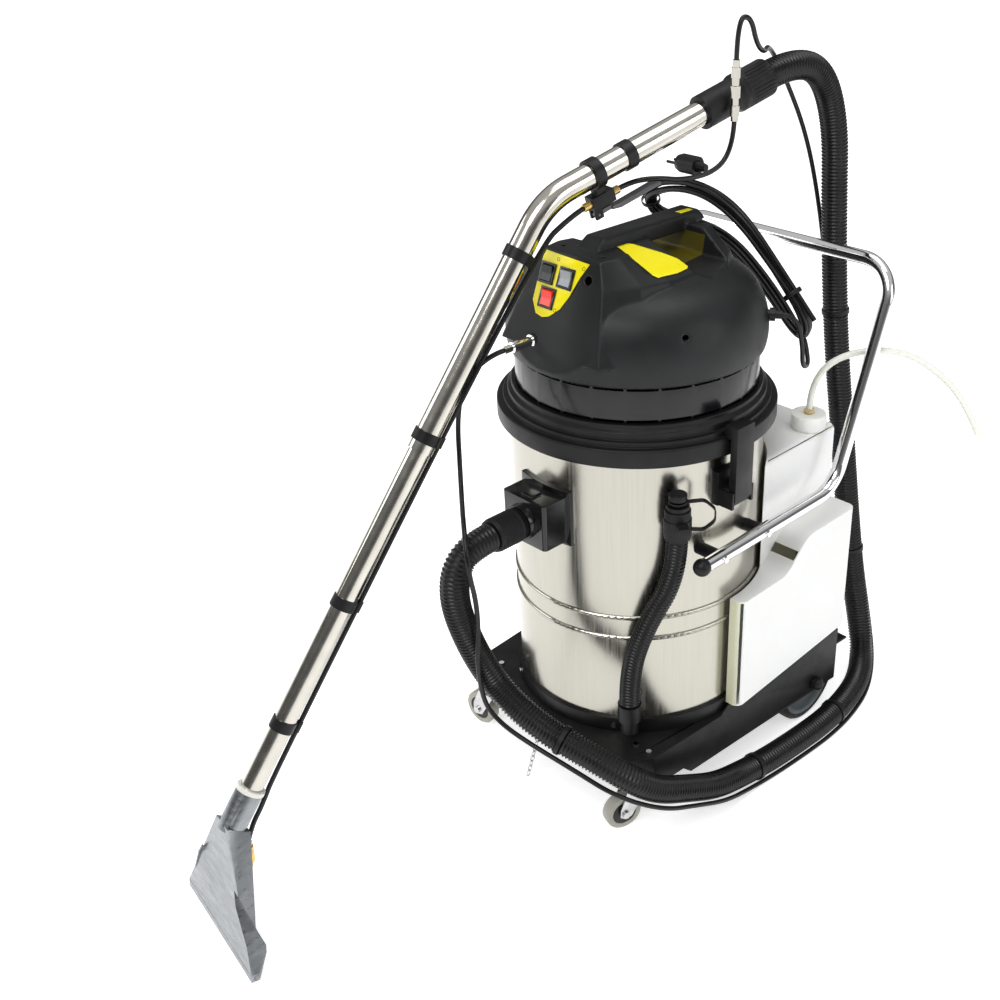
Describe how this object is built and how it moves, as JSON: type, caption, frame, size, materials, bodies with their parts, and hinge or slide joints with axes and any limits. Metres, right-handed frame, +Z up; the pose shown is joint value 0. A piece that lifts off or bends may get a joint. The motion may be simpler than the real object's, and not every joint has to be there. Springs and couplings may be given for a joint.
{
  "type": "carpet cleaner",
  "caption": "Wheeled spray-extraction carpet cleaner: steel drum, motor head, solution tank, push handle, vacuum hose and bent wand with a floor tool.",
  "frame": {"origin": "on the floor under the middle of the bounding box of the machine and its wand, free cords and hoses left out", "axes": "+Z up, -Y towards the front where the control panel and the floor tool are, +X towards the side that carries the tank cap"},
  "size_m": [0.6715, 1.3712, 1.308],
  "materials": {
    "deck_black": "semi-gloss black paint",
    "black_plastic": "moulded satin black",
    "zinc_steel": "zinc plated",
    "grey_tyre": "grey rubber on a black hub",
    "grey_wheel": "black tread on a grey disc",
    "stainless": "bright brushed stainless",
    "gloss_black": "gloss black",
    "rubber_black": "soft ribbed black",
    "hose_black": "satin black hose",
    "chrome": "bright chrome",
    "textured_black": "fine grained black",
    "yellow_panel": "printed yellow, no lettering",
    "rocker_black": "gloss black",
    "rocker_grey": "grey",
    "rocker_red": "translucent red",
    "motor_metal": "plain grey",
    "white_plastic": "white",
    "tank_white": "milky white polyethylene",
    "cream_plastic": "cream",
    "milky_tube": "translucent milky",
    "brass_fitting": "machined",
    "cast_aluminium": "brushed cast"
  },
  "bodies": {
    "machine": {"base_deck": "deck_black", "control_panel": "yellow_panel", "cord_gland": "black_plastic", "dome_cover": "textured_black", "drain_cuff": "rubber_black", "drain_hose": "hose_black", "drain_outlet": "black_plastic", "drain_strap": "rubber_black", "drum_seat_ring": "black_plastic", "drum_shell": "stainless", "float_cage": "black_plastic", "frame_bolts": "chrome", "ground_chain": "zinc_steel", "handle_ends": "black_plastic", "handle_spacers": "black_plastic", "head_flange": "black_plastic", "hose_bands": "rubber_black", "hose_coupler": "brass_fitting", "inlet_cuff": "rubber_black", "inlet_port": "gloss_black", "latch_brackets": "black_plastic", "power_cord": "hose_black", "power_plug": "black_plastic", "push_handle": "chrome", "rear_axle": "deck_black", "solution_hose": "hose_black", "solution_pump": "motor_metal", "solution_socket": "chrome", "solution_tank": "tank_white", "supply_barb": "cream_plastic", "supply_tube": "milky_tube", "switch_bezels": "black_plastic", "vacuum_hose": "hose_black", "vacuum_motors": "motor_metal", "vent_ring": "gloss_black", "wand_cuff": "rubber_black", "wand_line_in": "hose_black"},
    "fork_l": {"caster_fork_l": "zinc_steel"},
    "fork_r": {"caster_fork_r": "zinc_steel"},
    "caster_l": {"caster_wheel_l": "grey_tyre"},
    "caster_r": {"caster_wheel_r": "grey_tyre"},
    "rear_l": {"rear_wheel_l": "grey_wheel"},
    "rear_r": {"rear_wheel_r": "grey_wheel"},
    "switch_a": {"rocker_a": "rocker_black"},
    "switch_b": {"rocker_b": "rocker_grey"},
    "switch_c": {"rocker_c": "rocker_red"},
    "latch_left": {"latch_l": "black_plastic"},
    "latch_right": {"latch_r": "black_plastic"},
    "plug": {"drain_plug": "black_plastic"},
    "float": {"float_ball": "white_plastic"},
    "cap": {"tank_cap": "tank_white"},
    "wand": {"wand_lower_tube": "stainless", "wand_upper_tube": "stainless", "wand_clips": "black_plastic", "valve_body": "black_plastic", "wand_line_out": "hose_black", "tool_collar": "white_plastic", "floor_tool": "cast_aluminium", "spray_jet": "brass_fitting"},
    "trigger": {"trigger_lever": "zinc_steel"}
  },
  "joints": [
    {"name": "caster_swivel_l", "type": "hinge", "parent": "machine", "child": "fork_l", "pos_m": [-0.19, 0.02995, 0.104], "axis": [0, 0, 1], "continuous": true},
    {"name": "caster_roll_l", "type": "hinge", "parent": "fork_l", "child": "caster_l", "pos_m": [-0.22194, 0.02794, 0.034], "axis": [0.0628, -0.998, 0], "continuous": true},
    {"name": "rear_roll_l", "type": "hinge", "parent": "machine", "child": "rear_l", "pos_m": [-0.231, 0.47195, 0.086], "axis": [1, 0, 0], "continuous": true},
    {"name": "caster_swivel_r", "type": "hinge", "parent": "machine", "child": "fork_r", "pos_m": [0.19, 0.02995, 0.104], "axis": [0, 0, 1], "continuous": true},
    {"name": "caster_roll_r", "type": "hinge", "parent": "fork_r", "child": "caster_r", "pos_m": [0.1799, -0.00041, 0.034], "axis": [0.9489, -0.3156, 0], "continuous": true},
    {"name": "rear_roll_r", "type": "hinge", "parent": "machine", "child": "rear_r", "pos_m": [0.231, 0.47195, 0.086], "axis": [1, 0, 0], "continuous": true},
    {"name": "switch_press_a", "type": "hinge", "parent": "machine", "child": "switch_a", "pos_m": [-0.04, 0.07321, 0.95056], "axis": [1, 0, 0], "range_deg": [-14, 0]},
    {"name": "switch_press_b", "type": "hinge", "parent": "machine", "child": "switch_b", "pos_m": [0.001, 0.07321, 0.95056], "axis": [1, 0, 0], "range_deg": [-14, 0]},
    {"name": "switch_press_c", "type": "hinge", "parent": "machine", "child": "switch_c", "pos_m": [-0.028, 0.05923, 0.9163], "axis": [1, 0, 0], "range_deg": [-14, 0]},
    {"name": "latch_open_left", "type": "hinge", "parent": "machine", "child": "latch_left", "pos_m": [-0.25, 0.20995, 0.606], "axis": [0, -1, 0], "range_deg": [0, 95]},
    {"name": "latch_open_right", "type": "hinge", "parent": "machine", "child": "latch_right", "pos_m": [0.25, 0.20995, 0.606], "axis": [0, 1, 0], "range_deg": [0, 95]},
    {"name": "drain_plug_pull", "type": "slide", "parent": "machine", "child": "plug", "axis": [0, 0, 1], "range_m": [0, 0.03], "deforming": ["drain_strap"]},
    {"name": "float_rise", "type": "slide", "parent": "machine", "child": "float", "axis": [0, 0, 1], "range_m": [0, 0.045]},
    {"name": "tank_cap_turn", "type": "hinge", "parent": "machine", "child": "cap", "pos_m": [0.168, 0.51095, 0.612], "axis": [0, 0, 1], "continuous": true},
    {"name": "wand_swivel", "type": "hinge", "parent": "machine", "child": "wand", "pos_m": [0.02786, 0.35305, 1.16011], "axis": [0.1537, 0.9475, 0.2804], "range_deg": [-12, 12], "deforming": ["wand_line_in"]},
    {"name": "trigger_squeeze", "type": "hinge", "parent": "wand", "child": "trigger", "pos_m": [-0.00539, 0.14808, 1.03488], "axis": [0.9871, -0.1601, 0], "range_deg": [0, 8.5], "stiffness_Nm_per_rad": 0.8, "springref_deg": -8.59}
  ]
}
